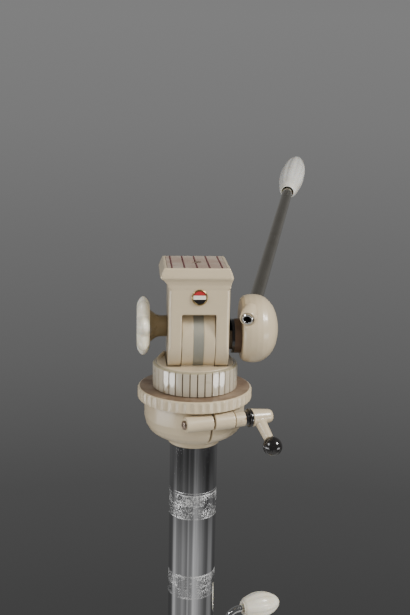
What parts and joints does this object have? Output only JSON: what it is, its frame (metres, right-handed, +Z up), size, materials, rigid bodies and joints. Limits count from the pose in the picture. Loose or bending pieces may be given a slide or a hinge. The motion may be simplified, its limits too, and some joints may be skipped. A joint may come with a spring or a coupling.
{
  "type": "camera tripod",
  "caption": "Photographic tripod with a geared centre column, side crank, clamped pan seat, lockable tilt head, pan handle and telescoping legs with rubber feet",
  "frame": {"origin": "on the floor, at the middle of the footprint's bounding box", "axes": "+Z up along the centre column, +X along the tilt axis towards the handle's hub, +Y from the front of the head towards the handle's grip"},
  "size_m": [0.5472, 0.6442, 1.208],
  "materials": {
    "cast_paint": "satin",
    "ivory_plastic": "satin",
    "bush_plastic": "satin",
    "plain_steel": "satin",
    "column_chrome": "polished",
    "rod_steel": "satin",
    "black_plastic": "polished",
    "worn_metal": "satin",
    "band_grey": "matte",
    "pad_pink": "matte",
    "strip_red": "matte",
    "badge_brass": "satin",
    "fibre_brown": "matte",
    "leg_paint": "satin",
    "foot_rubber": "matte"
  },
  "bodies": {
    "shoulder": {"shoulder_casting": "cast_paint", "column_bushes": "bush_plastic", "gear_cover": "cast_paint", "cover_screws": "plain_steel", "leg_hinge_bolts": "plain_steel"},
    "column": {"column_tube": "column_chrome", "gear_rack": "plain_steel", "column_end_cap": "black_plastic", "bowl_clamp": "cast_paint", "clamp_bolt": "plain_steel", "clamp_sleeve": "cast_paint"},
    "crank": {"pinion_shaft": "plain_steel", "crank_arm": "column_chrome"},
    "crank_hand": {"crank_grip": "ivory_plastic"},
    "column_lock": {"column_lock_screw": "plain_steel", "column_lock_knob": "ivory_plastic"},
    "lever": {"lever_washer": "black_plastic", "clamp_lever": "cast_paint", "lever_ball": "black_plastic"},
    "pan": {"pan_spindle": "plain_steel", "flange_ring": "worn_metal", "tilt_knuckle": "cast_paint", "brake_band": "band_grey"},
    "tension": {"tension_ring": "cast_paint"},
    "tilt": {"yoke_casting": "cast_paint", "platform_pad": "pad_pink", "grip_strips": "strip_red", "front_badge": "badge_brass", "tilt_shaft": "plain_steel", "cheek_washer": "worn_metal", "lock_nut": "black_plastic", "black_friction_disc": "black_plastic"},
    "tilt_lock": {"tilt_lock_screw": "plain_steel", "tilt_lock_hub": "badge_brass", "tilt_lock_knob": "ivory_plastic"},
    "camera_bolt": {"camera_screw": "plain_steel"},
    "handle_head": {"handle_hub": "cast_paint", "handle_bush": "column_chrome", "fibre_friction_disc": "fibre_brown"},
    "handle": {"handle_rod": "rod_steel", "handle_grip": "ivory_plastic"},
    "leg_1": {"leg_1_fork": "cast_paint", "leg_1_upper_tube": "leg_paint", "leg_1_clamp": "cast_paint"},
    "leg_1_lock": {"leg_1_knob": "ivory_plastic"},
    "leg_1_slider": {"leg_1_lower_tube": "column_chrome", "leg_1_foot": "foot_rubber"},
    "leg_2": {"leg_2_fork": "cast_paint", "leg_2_upper_tube": "leg_paint", "leg_2_clamp": "cast_paint"},
    "leg_2_lock": {"leg_2_knob": "ivory_plastic"},
    "leg_2_slider": {"leg_2_lower_tube": "column_chrome", "leg_2_foot": "foot_rubber"},
    "leg_3": {"leg_3_fork": "cast_paint", "leg_3_upper_tube": "leg_paint", "leg_3_clamp": "cast_paint"},
    "leg_3_lock": {"leg_3_knob": "ivory_plastic"},
    "leg_3_slider": {"leg_3_lower_tube": "column_chrome", "leg_3_foot": "foot_rubber"}
  },
  "joints": [
    {"name": "column_lift", "type": "slide", "parent": "shoulder", "child": "column", "axis": [0, 0, 1], "range_m": [-0.18, 0.09]},
    {"name": "crank_turn", "type": "hinge", "parent": "shoulder", "child": "crank", "pos_m": [0.07715, 0.0223, 0.755], "axis": [0.9563, 0.2924, 0], "range_deg": [-600, 1160]},
    {"name": "crank_grip_spin", "type": "hinge", "parent": "crank", "child": "crank_hand", "pos_m": [0.13836, 0.04102, 0.805], "axis": [0.9563, 0.2924, 0], "continuous": true},
    {"name": "column_lock_turn", "type": "hinge", "parent": "shoulder", "child": "column_lock", "pos_m": [0.04828, -0.02006, 0.755], "axis": [-0.9563, -0.2924, 0], "range_deg": [0, 340]},
    {"name": "pan_clamp_turn", "type": "hinge", "parent": "column", "child": "lever", "pos_m": [0.13955, -0.03608, 1.0219], "axis": [0.9563, 0.2924, 0], "range_deg": [-100, 45]},
    {"name": "pan_turn", "type": "hinge", "parent": "column", "child": "pan", "pos_m": [0.08653, -0.00837, 1.035], "axis": [0, 0, 1], "continuous": true},
    {"name": "tension_ring_turn", "type": "hinge", "parent": "pan", "child": "tension", "pos_m": [0.08653, -0.00837, 1.05], "axis": [0, 0, 1], "range_deg": [0, 90]},
    {"name": "tilt_turn", "type": "hinge", "parent": "pan", "child": "tilt", "pos_m": [0.08653, -0.00837, 1.082], "axis": [1, 0, 0], "range_deg": [-60, 60]},
    {"name": "tilt_lock_turn", "type": "hinge", "parent": "tilt", "child": "tilt_lock", "pos_m": [0.04653, -0.00837, 1.0903], "axis": [-1, 0, 0], "range_deg": [0, 340]},
    {"name": "camera_screw_turn", "type": "hinge", "parent": "tilt", "child": "camera_bolt", "pos_m": [0.08523, -0.00837, 1.118], "axis": [0, 0, 1], "continuous": true},
    {"name": "handle_swivel", "type": "hinge", "parent": "tilt", "child": "handle_head", "pos_m": [0.12653, -0.00837, 1.082], "axis": [1, 0, 0], "range_deg": [-30, 30]},
    {"name": "handle_twist", "type": "hinge", "parent": "handle_head", "child": "handle", "pos_m": [0.13263, -0.01137, 1.1054], "axis": [0.2472, 0.9289, 0.2756], "range_deg": [-60, 60]},
    {"name": "leg_1_spread", "type": "hinge", "parent": "shoulder", "child": "leg_1", "pos_m": [0.11053, 0.0332, 0.683], "axis": [-0.866, 0.5, 0], "range_deg": [0, 24]},
    {"name": "leg_1_extend", "type": "slide", "parent": "leg_1", "child": "leg_1_slider", "axis": [0.2034, 0.3522, -0.9135], "range_m": [0, 0.27]},
    {"name": "leg_1_lock_turn", "type": "hinge", "parent": "leg_1", "child": "leg_1_lock", "pos_m": [0.20325, 0.1938, 0.31567], "axis": [0.4568, 0.7912, 0.4067], "range_deg": [0, 340]},
    {"name": "leg_2_spread", "type": "hinge", "parent": "shoulder", "child": "leg_2", "pos_m": [0.03853, -0.00837, 0.683], "axis": [0, -1, 0], "range_deg": [0, 24]},
    {"name": "leg_2_extend", "type": "slide", "parent": "leg_2", "child": "leg_2_slider", "axis": [-0.4067, 0, -0.9135], "range_m": [0, 0.27]},
    {"name": "leg_2_lock_turn", "type": "hinge", "parent": "leg_2", "child": "leg_2_lock", "pos_m": [-0.14691, -0.00837, 0.31567], "axis": [-0.9135, 0, 0.4067], "range_deg": [0, 340]},
    {"name": "leg_3_spread", "type": "hinge", "parent": "shoulder", "child": "leg_3", "pos_m": [0.11053, -0.04994, 0.683], "axis": [0.866, 0.5, 0], "range_deg": [0, 24]},
    {"name": "leg_3_extend", "type": "slide", "parent": "leg_3", "child": "leg_3_slider", "axis": [0.2034, -0.3522, -0.9135], "range_m": [0, 0.27]},
    {"name": "leg_3_lock_turn", "type": "hinge", "parent": "leg_3", "child": "leg_3_lock", "pos_m": [0.20325, -0.21053, 0.31567], "axis": [0.4568, -0.7912, 0.4067], "range_deg": [0, 340]}
  ],
  "couplings": [
    {"joint": "crank_turn", "follows": "column_lift", "rad_per_m": -111.11}
  ]
}
